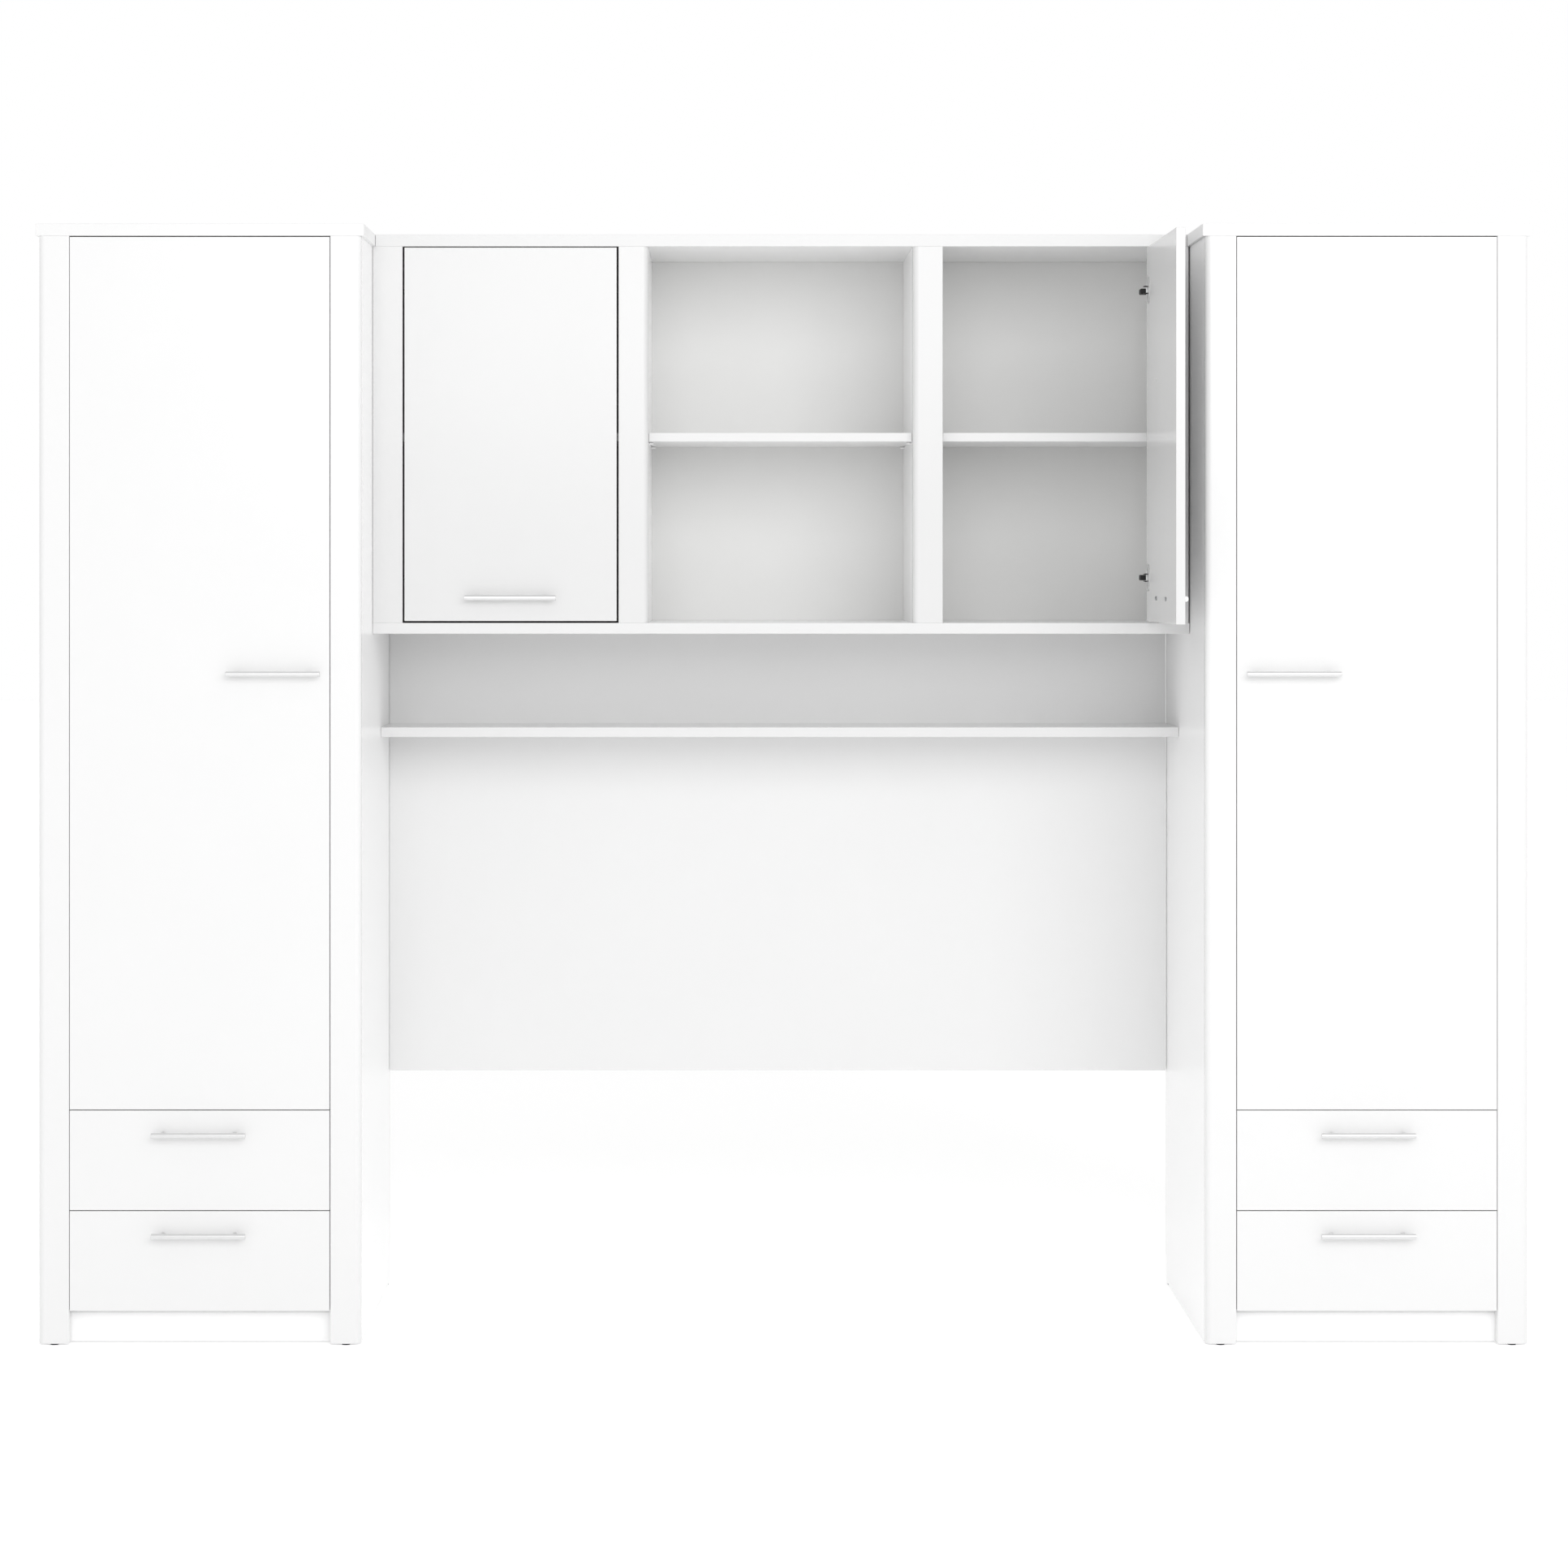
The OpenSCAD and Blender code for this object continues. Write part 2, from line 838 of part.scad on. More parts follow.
module angle_brackets() {
    color(STEEL)
        for (side = BOTH, dx = [-1, 1] * wardrobe_fix_cc / 2)
            on_side(side)
                translate([wardrobe_mid + dx, inner_back_y, top_z])
                    angle_bracket();
}

// Countersunk screw along -Y, from the panel's rear face into the shelf
module shelf_screw(play) {
    y = wall_y + (play > 0 ? cut : 0);
    union() {
        rod_y(0, wall_y - screw_head_l - play, y, 0, screw_head_r + play);
        rod_y(0, wall_y - screw_l - play, y, 0, screw_r + play);
    }
}

// Puts a screw at each fixing point of the wall shelf
module at_shelf_screws() {
    for (dx = [-1, -1 / 3, 1 / 3, 1] * shelf_fix_cc / 2)
        translate([dx, 0, wall_shelf_z + wall_shelf_t / 2])
            children();
}

module shelf_screws() {
    color(STEEL)
        at_shelf_screws()
            shelf_screw(0);
}

outer_side(LEFT);  // left_outer_side
inner_side(LEFT);  // left_inner_side
inner_side(RIGHT);  // right_inner_side
outer_side(RIGHT);  // right_outer_side
wardrobe_posts(LEFT);  // left_posts
wardrobe_posts(RIGHT);  // right_posts
wardrobe_tops();
wardrobe_bottoms();
plinths();
drawer_decks();
hat_shelves();
wardrobe_backs();
clothes_rails();
rail_sockets();
runner_battens();
cabinet_runners();
hinge_arms();
hinge_plates();
floor_glides();
shelf_pins();
connector_bolts();
angle_brackets();
shelf_screws();
bridge_top();
bridge_bottom();
bridge_sides();
bridge_dividers();
bridge_posts();
bridge_shelves();
bridge_back();
wall_panel();
wall_shelf();
wardrobe_door(LEFT);  // left_door
wardrobe_door_cups(LEFT);  // left_door_hinge_cups
wardrobe_door_handle(LEFT);  // left_door_handle
wardrobe_door(RIGHT);  // right_door
wardrobe_door_cups(RIGHT);  // right_door_hinge_cups
wardrobe_door_handle(RIGHT);  // right_door_handle
bridge_door(LEFT);  // bridge_left_door
bridge_door_cups(LEFT);  // bridge_left_hinge_cups
bridge_door_handle(LEFT);  // bridge_left_handle
drilled_bridge_door();  // bridge_right_door
bridge_door_cups(RIGHT);  // bridge_right_hinge_cups
bridge_door_handle(RIGHT);  // bridge_right_handle
drawer_front(LEFT, drawer_z);  // left_lower_front
drawer_box(LEFT, drawer_z);  // left_lower_box
drawer_runners(LEFT, drawer_z);  // left_lower_runners
drawer_handle(LEFT, drawer_z);  // left_lower_handle
drawer_front(LEFT, upper_drawer_z);  // left_upper_front
drawer_box(LEFT, upper_drawer_z);  // left_upper_box
drawer_runners(LEFT, upper_drawer_z);  // left_upper_runners
drawer_handle(LEFT, upper_drawer_z);  // left_upper_handle
drawer_front(RIGHT, drawer_z);  // right_lower_front
drawer_box(RIGHT, drawer_z);  // right_lower_box
drawer_runners(RIGHT, drawer_z);  // right_lower_runners
drawer_handle(RIGHT, drawer_z);  // right_lower_handle
drawer_front(RIGHT, upper_drawer_z);  // right_upper_front
drawer_box(RIGHT, upper_drawer_z);  // right_upper_box
drawer_runners(RIGHT, upper_drawer_z);  // right_upper_runners
drawer_handle(RIGHT, upper_drawer_z);  // right_upper_handle
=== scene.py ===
"""Looks of the over-bed wardrobe unit: edged boards, bar handles, hinge sets, runners and fittings."""

import json
import math

import bmesh
import bpy
from mathutils import Matrix, Vector


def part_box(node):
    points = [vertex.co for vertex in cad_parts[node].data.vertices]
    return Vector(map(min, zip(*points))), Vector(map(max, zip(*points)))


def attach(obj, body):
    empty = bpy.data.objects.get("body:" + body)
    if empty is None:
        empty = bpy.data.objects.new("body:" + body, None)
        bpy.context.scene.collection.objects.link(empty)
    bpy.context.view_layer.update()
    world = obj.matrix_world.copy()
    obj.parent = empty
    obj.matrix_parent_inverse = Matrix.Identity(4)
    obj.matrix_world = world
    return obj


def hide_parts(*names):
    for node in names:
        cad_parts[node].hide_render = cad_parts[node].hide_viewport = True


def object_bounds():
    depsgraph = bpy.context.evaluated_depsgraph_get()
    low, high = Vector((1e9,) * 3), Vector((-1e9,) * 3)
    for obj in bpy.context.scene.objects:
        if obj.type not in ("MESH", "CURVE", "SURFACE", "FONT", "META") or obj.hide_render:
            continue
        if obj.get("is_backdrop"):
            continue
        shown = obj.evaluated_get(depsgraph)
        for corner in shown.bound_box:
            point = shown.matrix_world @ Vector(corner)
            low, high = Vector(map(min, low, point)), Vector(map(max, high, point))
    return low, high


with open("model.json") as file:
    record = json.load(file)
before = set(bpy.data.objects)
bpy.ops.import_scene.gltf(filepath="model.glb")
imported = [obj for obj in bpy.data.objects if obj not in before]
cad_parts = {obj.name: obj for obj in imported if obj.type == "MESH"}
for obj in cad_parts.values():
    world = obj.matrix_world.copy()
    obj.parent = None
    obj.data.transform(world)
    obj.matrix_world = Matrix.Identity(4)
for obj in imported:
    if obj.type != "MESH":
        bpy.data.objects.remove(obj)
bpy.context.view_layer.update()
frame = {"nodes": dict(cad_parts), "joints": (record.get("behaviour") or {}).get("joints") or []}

MM = 0.001
LEFT, RIGHT = -1, 1
CARCASS = "carcass"

# Edges: how far each kind of piece is eased along its edges, and what counts as an edge
BOARD_EASE = 0.5 * MM
FRONT_EASE = 0.6 * MM
THIN_EASE = 0.3 * MM
STEEL_EASE = 0.25 * MM
SHARP = math.radians(30)
WELD = 0.01 * MM

# Hinges, in a door's own frame: hinge edge at x = 0, front at y = 0, door towards +x
PIVOT_INSET = 2.5 * MM
HINGE_END = 80 * MM
CUP_INSET = 22 * MM
CUP_R = 17.5 * MM
CUP_DEPTH = 12 * MM
CUP_WALL = 1.4 * MM
FLANGE_T = 1.2 * MM
FLANGE_RIM = 1.5 * MM
FLANGE_STRETCH = 6 * MM
FLANGE_SCREW_Z = 20.5 * MM
FLANGE_SCREW = (3 * MM, 1.2 * MM)
FLANGE_LIP = 0.5 * MM
RAISED_RIM = 0.8 * MM
BOWL_ROUND = 2 * MM
CUP_SIDES = 40
PIN_AT = (CUP_INSET - 6 * MM, 12 * MM)
PIN_HALF_L = 11 * MM
PIN_R = 2 * MM
PIN_EASE = 0.3 * MM
PIN_SIDES = 16
BOARD_T = 16 * MM
POST_T = 22 * MM
PLATE_T = 3.5 * MM
ARM_T = 9 * MM
ARM_H = 10 * MM
ARM_X = (-34 * MM, 19 * MM, 29 * MM)
ARM_TIP_Y = 8.5 * MM
LINK_Z = (5.5 * MM, 7 * MM)
LINK_Y = (5.5 * MM, 25 * MM)
LINK_EASE = 0.4 * MM
RIVET = (2 * MM, 0.7 * MM)
RIVET_INSET = 4 * MM
ARM_EASE = 1.5 * MM
ARM_SCREW = (3.5 * MM, 1.2 * MM)
ARM_SCREW_X = (-26 * MM, -8 * MM)
PLATE_BAR = (-38 * MM, -6 * MM, 10 * MM)
PLATE_WING = (-30 * MM, -14 * MM, 24 * MM)
PLATE_EASE = 0.8 * MM
PLATE_SCREW_R = 4 * MM
PLATE_SCREW_X = -22 * MM
PLATE_SCREW_Z = 17 * MM

# Handles
BAR_R = 5 * MM
BAR_L = 168 * MM
FOOT_CC = 128 * MM
FOOT_R = 4 * MM
FOOT_COLLAR = 1 * MM
COLLAR_L = 1.5 * MM
COLLAR_EASE = 0.5 * MM
BAR_EASE = 0.8 * MM
BAR_SIDES = 40
HANDLE_SCREW = (4 * MM, 2.2 * MM)
HAIRLINE = 0.05 * MM

# Runners: sheet thickness, where the wheels sit, and how far the screws are from each other
WEB_T = 1.2 * MM
WHEEL_R = 8.06 * MM
WHEEL_END = 10 * MM
WHEEL_EASE = 0.8 * MM
MOVING_WEB_X = 8.8 * MM
FIXED_WHEEL_GAP = 2 * MM
FIXED_WHEEL_DROP = 9.6 * MM
MOVING_WHEEL_DROP = 16.5 * MM
FIXED_SCREW_DROP = 13 * MM
MOVING_SCREW_DROP = 10 * MM
RUNNER_SCREWS = (60 * MM, 220 * MM, 380 * MM)
RUNNER_SCREW = (3 * MM, 0.9 * MM)


def linear(hex_colour):
    """Linear RGBA of an sRGB hex colour."""
    channels = [int(hex_colour[i : i + 2], 16) / 255 for i in (1, 3, 5)]
    return [c / 12.92 if c <= 0.04045 else ((c + 0.055) / 1.055) ** 2.4 for c in channels] + [1]


def add(tree, kind, inputs=None, **settings):
    """Adds a shader node. Each input is given a value, or another node's output."""
    made = tree.nodes.new(kind)
    for name, value in settings.items():
        setattr(made, name, value)
    for name, value in (inputs or {}).items():
        if isinstance(value, bpy.types.NodeSocket):
            tree.links.new(value, made.inputs[name])
        else:
            made.inputs[name].default_value = value
    return made


def finish_named(name):
    """A new material with only its output, and the tree that it is built in."""
    made = bpy.data.materials.new(name)
    made.use_nodes = True
    made.node_tree.nodes.clear()
    return made, made.node_tree


def board_finish(name, pale, shaded, worn, rough, spread, peel_mm, peel_depth_mm, wave_depth_mm):
    """A white board surface: clouded tone, uneven gloss, fine pebble, long soft wave, greyer worn edges."""
    made, tree = finish_named(name)
    where = add(tree, "ShaderNodeTexCoord").outputs["Object"]
    cloud = add(tree, "ShaderNodeTexNoise", {"Vector": where, "Scale": 1 / (220 * MM), "Detail": 3.0})
    tone = add(
        tree,
        "ShaderNodeMix",
        {"Factor": cloud.outputs["Fac"], "A": linear(pale), "B": linear(shaded)},
        data_type="RGBA",
    )
    rim = add(tree, "ShaderNodeAttribute", attribute_name="rim")
    scuff = add(tree, "ShaderNodeTexNoise", {"Vector": where, "Scale": 1 / (9 * MM), "Detail": 4.0})
    rim_share = add(
        tree,
        "ShaderNodeMath",
        {0: rim.outputs["Fac"], 1: scuff.outputs["Fac"]},
        operation="MULTIPLY",
    )
    edged = add(
        tree,
        "ShaderNodeMix",
        {"Factor": rim_share.outputs[0], "A": tone.outputs["Result"], "B": linear(worn)},
        data_type="RGBA",
    )
    smear = add(tree, "ShaderNodeTexNoise", {"Vector": where, "Scale": 1 / (160 * MM), "Detail": 3.0})
    gloss = add(
        tree,
        "ShaderNodeMapRange",
        {"Value": smear.outputs["Fac"], "To Min": rough - spread, "To Max": rough + spread},
    )
    peel = add(tree, "ShaderNodeTexNoise", {"Vector": where, "Scale": 1 / (peel_mm * MM), "Detail": 2.0})
    wave = add(tree, "ShaderNodeTexNoise", {"Vector": where, "Scale": 1 / (260 * MM), "Detail": 1.0})
    long_bump = add(
        tree,
        "ShaderNodeBump",
        {"Height": wave.outputs["Fac"], "Strength": 1.0, "Distance": wave_depth_mm * MM},
    )
    fine_bump = add(
        tree,
        "ShaderNodeBump",
        {
            "Height": peel.outputs["Fac"],
            "Strength": 1.0,
            "Distance": peel_depth_mm * MM,
            "Normal": long_bump.outputs["Normal"],
        },
    )
    shader = add(
        tree,
        "ShaderNodeBsdfPrincipled",
        {
            "Base Color": edged.outputs["Result"],
            "Roughness": gloss.outputs["Result"],
            "Normal": fine_bump.outputs["Normal"],
            "IOR": 1.5,
        },
    )
    add(tree, "ShaderNodeOutputMaterial", {"Surface": shader.outputs["BSDF"]})
    return made


def hard_finish(
    name, bright, dull, rough, metallic, grain_mm, grain_depth_mm, stretch=(1, 1, 1), coord="Object"
):
    """A metal, enamel or moulded surface: mottled tone, uneven gloss, a grain that may run one way."""
    made, tree = finish_named(name)
    where = add(tree, "ShaderNodeTexCoord").outputs[coord]
    along = add(tree, "ShaderNodeMapping", {"Vector": where, "Scale": stretch})
    grain = add(
        tree,
        "ShaderNodeTexNoise",
        {"Vector": along.outputs["Vector"], "Scale": 1 / (grain_mm * MM), "Detail": 4.0},
    )
    mottle = add(tree, "ShaderNodeTexNoise", {"Vector": where, "Scale": 1 / (14 * MM), "Detail": 4.0})
    tone = add(
        tree,
        "ShaderNodeMix",
        {"Factor": mottle.outputs["Fac"], "A": linear(bright), "B": linear(dull)},
        data_type="RGBA",
    )
    gloss = add(
        tree,
        "ShaderNodeMapRange",
        {"Value": grain.outputs["Fac"], "To Min": max(rough - 0.06, 0.02), "To Max": rough + 0.08},
    )
    bump = add(
        tree,
        "ShaderNodeBump",
        {"Height": grain.outputs["Fac"], "Strength": 1.0, "Distance": grain_depth_mm * MM},
    )
    shader = add(
        tree,
        "ShaderNodeBsdfPrincipled",
        {
            "Base Color": tone.outputs["Result"],
            "Metallic": metallic,
            "Roughness": gloss.outputs["Result"],
            "Normal": bump.outputs["Normal"],
        },
    )
    add(tree, "ShaderNodeOutputMaterial", {"Surface": shader.outputs["BSDF"]})
    return made


# Melamine paper pressed on chipboard: satin white with a fine pebble, drawn at 3 mm so that it shows
white_melamine = board_finish(
    "white_melamine_board", "#F4F4F4", "#F2F2F2", "#E3E3E3", 0.3, 0.02, 3, 0.002, 0.1
)
# The same paper with painted light, a shade brighter: wardrobe sides, plinths, and the hung cabinet's ends
# and dividers
melamine_painted_lighter = board_finish(
    "melamine_board_painted_lighter", "#FBFBFB", "#F9F9F9", "#E8E8E8", 0.3, 0.02, 3, 0.002, 0.1
)
# The wall panel's paper with painted shade, a shade greyer
panel_paper_painted_shade = board_finish(
    "panel_board_painted_shade", "#E6E6E6", "#E4E4E4", "#D8D8D8", 0.3, 0.02, 3, 0.002, 0.1
)
# Thin plastic band glued along the front edges: a little duller and greyer than the boards
edge_band = board_finish("white_edge_band", "#DEDEDE", "#DCDCDC", "#D3D3D3", 0.35, 0.02, 2, 0.003, 0.1)
# Smooth foil wrapped on a pressed board: glossier than the carcass, so it mirrors its surroundings softly
white_foil = board_finish("white_foil_front", "#E9E9E9", "#E7E7E7", "#DCDCDC", 0.2, 0.02, 5, 0.002, 0.15)
# The hung cabinet's posts and doors in the same foil with painted shade, a shade greyer
foil_painted_shade = board_finish("bridge_foil_front_painted_shade", "#DCDCDC", "#DADADA", "#D0D0D0", 0.2, 0.02, 5, 0.002, 0.15)
# Drawer board wrapped in matt paper foil: flatter and a little duller than the fronts
drawer_board = board_finish("drawer_board", "#EEEEED", "#E7E7E5", "#D6D6D3", 0.45, 0.04, 2, 0.01, 0.2)
# Hardboard with a sprayed white face: matt, with the felted fibre just telling through
hardboard = board_finish("white_hardboard", "#E8E8E7", "#E2E2E1", "#D0CCC5", 0.6, 0.05, 4, 0.02, 0.3)

# Bar brushed lengthwise and nickel plated: soft grey sheen with fine lines along the bar
satin_nickel = hard_finish("satin_nickel_bar", "#E8E8E8", "#DCDCDC", 0.3, 1.0, 1.0, 0.006, (0.02, 1, 1), "UV")
# Pressed steel with pale nickel plate: half bright, faintly rippled by the press
nickel_plate = hard_finish("nickel_plated_steel", "#F0F0F0", "#E4E4E4", 0.32, 1.0, 6, 0.006)
# Hinge arm with dark baked enamel: nearly black and matt
dark_enamel = hard_finish("dark_hinge_steel", "#070707", "#050505", 0.6, 0.0, 1.5, 0.01)
# Powder coat on folded steel: off-white with a fine grit, drawn at 1.5 mm so that it shows
powder_coat = hard_finish("powder_coated_runner", "#ECECEA", "#E3E3E0", 0.48, 0.0, 1.5, 0.03)
# Chrome on drawn tube: bright mirror, slightly smeared
chrome = hard_finish("chromed_rail", "#E3E4E6", "#D5D7DA", 0.09, 1.0, 20, 0.005)
# Passivated zinc on steel: bluish grey, cloudy, half dull
zinc = hard_finish("zinc_plated_steel", "#C9CBCD", "#AEB1B4", 0.36, 1.0, 3, 0.01)
# Moulded nylon of the glides: near-black, matt, with a spark-eroded grain
nylon = hard_finish("nylon_glide", "#303031", "#242425", 0.6, 0.0, 1.2, 0.03)
# White moulded nylon of the runner wheels: creamy and slick
wheel_nylon = hard_finish("white_nylon_wheel", "#F0EFEB", "#E6E4DE", 0.35, 0.0, 2.0, 0.01)


def solids_of(*names):
    """The merged solids of some CAD nodes, with each flat face whole again."""
    made = bmesh.new()
    for name in names:
        made.from_mesh(frame["nodes"][name].data)
    bmesh.ops.remove_doubles(made, verts=made.verts[:], dist=WELD)
    bmesh.ops.dissolve_limit(
        made,
        angle_limit=math.radians(0.5),
        use_dissolve_boundaries=False,
        verts=made.verts[:],
        edges=made.edges[:],
    )
    return made


def solid_boxes(name):
    """(lowest, highest corner) of each separate solid of a CAD node, from left to right, front to back."""
    made = solids_of(name)
    unseen, boxes = set(made.verts), []
    while unseen:
        found, reached = set(), {min(unseen, key=lambda v: v.index)}
        while reached:
            found |= reached
            reached = {e.other_vert(v) for v in reached for e in v.link_edges} - found
        unseen -= found
        low = Vector([min(v.co[i] for v in found) for i in range(3)])
        high = Vector([max(v.co[i] for v in found) for i in range(3)])
        boxes.append((low, high))
    made.free()
    return sorted(boxes, key=lambda box: (round(box[0].x, 4), round(box[0].y, 4), round(box[0].z, 4)))


def round_edges(made, edges, radius, segments):
    """Bevels some edges to a round of one radius. Returns the new faces."""
    return bmesh.ops.bevel(
        made,
        geom=edges,
        affect="EDGES",
        offset=radius,
        offset_type="OFFSET",
        segments=segments,
        profile=0.5,
        clamp_overlap=True,
        material=-1,
    )["faces"]


def ease(made, radius, segments=2):
    """Rounds every sharp edge, and marks the rounded faces for the worn tone."""
    sharp = [e for e in made.edges if len(e.link_faces) == 2 and e.calc_face_angle() > SHARP]
    rounded = round_edges(made, sharp, radius, segments)
    rim = made.loops.layers.float.get("rim") or made.loops.layers.float.new("rim")
    for face in rounded:
        for corner in face.loops:
            corner[rim] = 1.0


def place(made, name, body, look, stands_for=()):
    """Turns a bmesh into a finished piece on its body."""
    bmesh.ops.recalc_face_normals(made, faces=made.faces[:])
    for face in made.faces:
        face.smooth = True
    mesh = bpy.data.meshes.new(name)
    made.to_mesh(mesh)
    made.free()
    mesh.materials.append(look)
    piece = bpy.data.objects.new(name, mesh)
    bpy.context.scene.collection.objects.link(piece)
    even = piece.modifiers.new("even_shading", "WEIGHTED_NORMAL")
    even.mode = "FACE_AREA"
    even.weight = 50
    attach(piece, body)
    if stands_for:
        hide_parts(*stands_for)
    return piece


def rod(made, start, end, radius, ease_r=0.0, sides=32, ease_segments=3):
    """Adds a closed round bar between two points, its ends eased."""
    start, end = Vector(start), Vector(end)
    line = end - start
    turn = line.to_track_quat("Z", "Y").to_matrix().to_4x4()
    at = Matrix.Translation((start + end) / 2) @ turn
    ring = bmesh.ops.create_cone(
        made, cap_ends=True, segments=sides, radius1=radius, radius2=radius, depth=line.length, matrix=at
    )
    if ease_r:
        ends = {e for v in ring["verts"] for e in v.link_edges if e.calc_face_angle() > SHARP}
        round_edges(made, list(ends), ease_r, ease_segments)


def screw(made, head, axis, radius=3.5 * MM, height=1.6 * MM, recess=True):
    """Adds a screw or nail head, the screw's with a round drive recess. axis points out of the surface."""
    turn = Vector(axis).to_track_quat("Z", "Y").to_matrix().to_4x4()
    at = Matrix.Translation(Vector(head)) @ turn @ Matrix.Translation((0, 0, height / 2))
    ring = bmesh.ops.create_cone(
        made, cap_ends=True, segments=12, radius1=radius, radius2=radius * 0.8, depth=height, matrix=at
    )
    if not recess:
        return
    out = (at.to_3x3() @ Vector((0, 0, 1))).normalized()
    top = max(
        {f for v in ring["verts"] for f in v.link_faces if len(f.verts) > 4},
        key=lambda f: f.normal.dot(out) if f.normal.length else 0,
    )
    bmesh.ops.inset_region(made, faces=[top], thickness=radius * 0.42)
    bmesh.ops.translate(made, verts=top.verts[:], vec=-out * height * 0.6)
    bmesh.ops.inset_region(made, faces=[top], thickness=radius * 0.05)


def rounded_slab(made, low, high, radius, segments=3):
    """Adds a box between two corners with all its edges rounded."""
    low, high = Vector(low), Vector(high)
    at = Matrix.Translation((low + high) / 2) @ Matrix.Diagonal((*(high - low), 1))
    box = bmesh.ops.create_cube(made, size=1, matrix=at)
    round_edges(made, list({e for v in box["verts"] for e in v.link_edges}), radius, segments)


def gather(whole, part, at):
    """Moves a bmesh to its place and adds it to a larger one."""
    bmesh.ops.transform(part, matrix=at, verts=part.verts[:])
    spare = bpy.data.meshes.new("spare")
    part.to_mesh(spare)
    part.free()
    whole.from_mesh(spare)
    bpy.data.meshes.remove(spare)


# ---- Boards ----

# Board, how far it is eased, its surface, and its front edge where that has a band
boards = [
    ("left_outer_side", BOARD_EASE, melamine_painted_lighter, None),
    ("left_inner_side", BOARD_EASE, melamine_painted_lighter, None),
    ("right_inner_side", BOARD_EASE, melamine_painted_lighter, None),
    ("right_outer_side", BOARD_EASE, melamine_painted_lighter, None),
    ("left_posts", BOARD_EASE, white_foil, None),
    ("right_posts", BOARD_EASE, white_foil, None),
    ("wardrobe_tops", FRONT_EASE, white_melamine, white_foil),
    ("wardrobe_bottoms", BOARD_EASE, white_melamine, None),
    ("plinths", BOARD_EASE, melamine_painted_lighter, None),
    ("drawer_decks", BOARD_EASE, white_melamine, edge_band),
    ("hat_shelves", BOARD_EASE, white_melamine, edge_band),
    ("runner_battens", BOARD_EASE, white_melamine, None),
    ("bridge_top", FRONT_EASE, white_melamine, edge_band),
    ("bridge_bottom", FRONT_EASE, white_melamine, edge_band),
    ("bridge_sides", BOARD_EASE, melamine_painted_lighter, None),
    ("bridge_dividers", BOARD_EASE, melamine_painted_lighter, None),
    ("bridge_posts", THIN_EASE, foil_painted_shade, None),
    ("bridge_shelves", BOARD_EASE, white_melamine, edge_band),
    ("wall_panel", BOARD_EASE, panel_paper_painted_shade, None),
    ("wall_shelf", FRONT_EASE, panel_paper_painted_shade, edge_band),
]
for name, radius, look, band in boards:
    board = solids_of(name)
    ease(board, radius)
    made = place(board, name + "_edged", CARCASS, look, [name])
    if band:
        made.data.materials.append(band)
        for face in made.data.polygons:
            face.material_index = 1 if face.normal.y < -0.9 else 0

for name in ("wardrobe_backs", "bridge_back"):
    board = solids_of(name)
    ease(board, THIN_EASE)
    place(board, name + "_sprayed", CARCASS, hardboard, [name])

# Nails that hold the hardboard backs, in the room behind them
NAIL_R = 3 * MM
NAIL_H = 0.8 * MM
NAIL_INSET = 8 * MM
NAIL_STEP = 150 * MM
nails = bmesh.new()
for low, high in solid_boxes("wardrobe_backs") + solid_boxes("bridge_back"):
    columns = math.ceil((high.x - low.x) / NAIL_STEP)
    rows = math.ceil((high.z - low.z) / NAIL_STEP)
    for i in range(columns + 1):
        for j in range(rows + 1):
            if i in (0, columns) or j in (0, rows):
                x = low.x + NAIL_INSET + (high.x - low.x - 2 * NAIL_INSET) * i / columns
                z = low.z + NAIL_INSET + (high.z - low.z - 2 * NAIL_INSET) * j / rows
                screw(nails, (x, high.y, z), (0, 1, 0), NAIL_R, NAIL_H, recess=False)
place(nails, "back_nails", CARCASS, zinc)

# ---- Doors, with their cups and handles ----

joints = {joint["name"]: joint for joint in frame["joints"]}


def door_place(joint, side, swing):
    """Takes a door's own frame to the row frame, with the door open by the swing."""
    return (
        Matrix.Translation((joint["pos_m"][0], joint["pos_m"][1], 0))
        @ Matrix.Scale(-side, 4, (1, 0, 0))
        @ Matrix.Rotation(-swing, 4, "Z")
        @ Matrix.Translation((-PIVOT_INSET, 0, 0))
    )


def hinge_heights(door, count):
    """The heights of a door's hinges, the outer ones a fixed way in from its ends."""
    low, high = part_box(door)
    step = (high.z - low.z - 2 * HINGE_END) / (count - 1)
    return [low.z + HINGE_END + step * i for i in range(count)]


def cup_ring(made, z, radius, y):
    """Adds one round loop of edges about a cup's axis. Returns its edges."""
    at = (
        Matrix.Translation((CUP_INSET, y, z))
        @ Matrix.Rotation(math.pi / 2, 4, "X")
        @ Matrix.Rotation(math.pi / CUP_SIDES, 4, "Z")
    )
    loop = bmesh.ops.create_circle(made, cap_ends=False, segments=CUP_SIDES, radius=radius, matrix=at)
    return list({e for v in loop["verts"] for e in v.link_edges})


def draw_ring(made, edges, z, old_stretch, y, radius, stretch):
    """Extrudes a loop to the next height and radius, its halves stretched apart. Returns the new edges."""
    drawn = bmesh.ops.extrude_edge_only(made, edges=edges)["geom"]
    verts = {v for v in drawn if isinstance(v, bmesh.types.BMVert)}
    for vert in verts:
        half = math.copysign(1.0, vert.co.z - z)
        out = Vector((vert.co.x - CUP_INSET, 0.0, vert.co.z - z - half * old_stretch))
        out = out.normalized() * radius
        vert.co = (CUP_INSET + out.x, y, z + out.z + half * stretch)
    return [e for v in verts for e in v.link_edges if e.verts[0] is v and e.verts[1] in verts]


